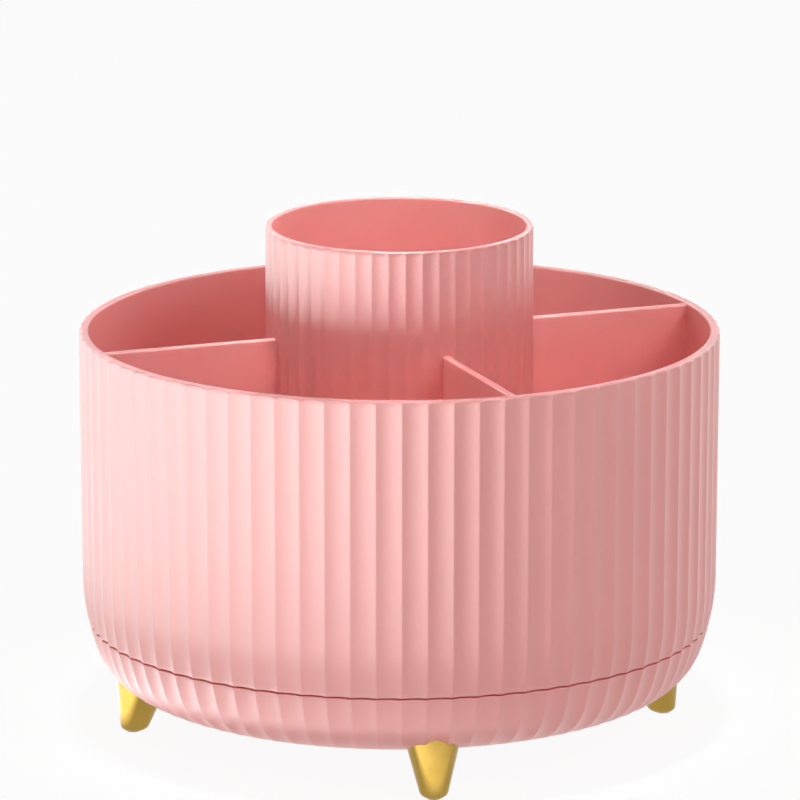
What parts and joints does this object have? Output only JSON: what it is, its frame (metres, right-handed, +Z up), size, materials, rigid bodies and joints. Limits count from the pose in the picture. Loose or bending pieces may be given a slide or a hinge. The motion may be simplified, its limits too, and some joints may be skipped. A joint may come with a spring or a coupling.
{
  "type": "rotating makeup organizer",
  "caption": "Round fluted makeup organizer: a divided drum with a tall central brush cup turns on a ball bearing over a bowl base with small tapered feet.",
  "frame": {"origin": "on the floor plane, on the turning axis, under the middle of the organizer", "axes": "+Z up along the turning axis; +X and +Y run along two of the dividers at rest, -Y towards the divider that the picture shows in front"},
  "size_m": [0.2098, 0.2098, 0.1686],
  "materials": {
    "pink_abs": "satin moulded ABS",
    "gold_plate": "ABS electroplated in bright gold",
    "white_acetal": "moulded acetal",
    "zinc_steel": "bright zinc",
    "clear_silicone": "soft translucent"
  },
  "bodies": {
    "base": {"base_bowl": "pink_abs", "lower_race": "white_acetal", "pivot_bush": "white_acetal", "foot_screws": "zinc_steel", "foot_right": "gold_plate", "foot_back": "gold_plate", "foot_left": "gold_plate", "foot_front": "gold_plate", "foot_pad_right": "clear_silicone", "foot_pad_back": "clear_silicone", "foot_pad_left": "clear_silicone", "foot_pad_front": "clear_silicone"},
    "carousel": {"drum": "pink_abs", "brush_cup": "pink_abs", "divider_right": "pink_abs", "divider_back": "pink_abs", "divider_left": "pink_abs", "divider_front": "pink_abs", "upper_race": "white_acetal", "cup_screws": "zinc_steel", "pivot_washer": "zinc_steel", "pivot_screw": "zinc_steel"},
    "ball_ring": {"ball_cage": "white_acetal", "bearing_balls": "zinc_steel"}
  },
  "joints": [
    {"name": "carousel_spin", "type": "hinge", "parent": "base", "child": "carousel", "pos_m": [0, 0, 0.0367], "axis": [0, 0, 1], "continuous": true},
    {"name": "cage_spin", "type": "hinge", "parent": "base", "child": "ball_ring", "pos_m": [0, 0, 0.0356], "axis": [0, 0, 1], "continuous": true}
  ],
  "couplings": [
    {"joint": "cage_spin", "follows": "carousel_spin", "ratio": 0.5}
  ]
}
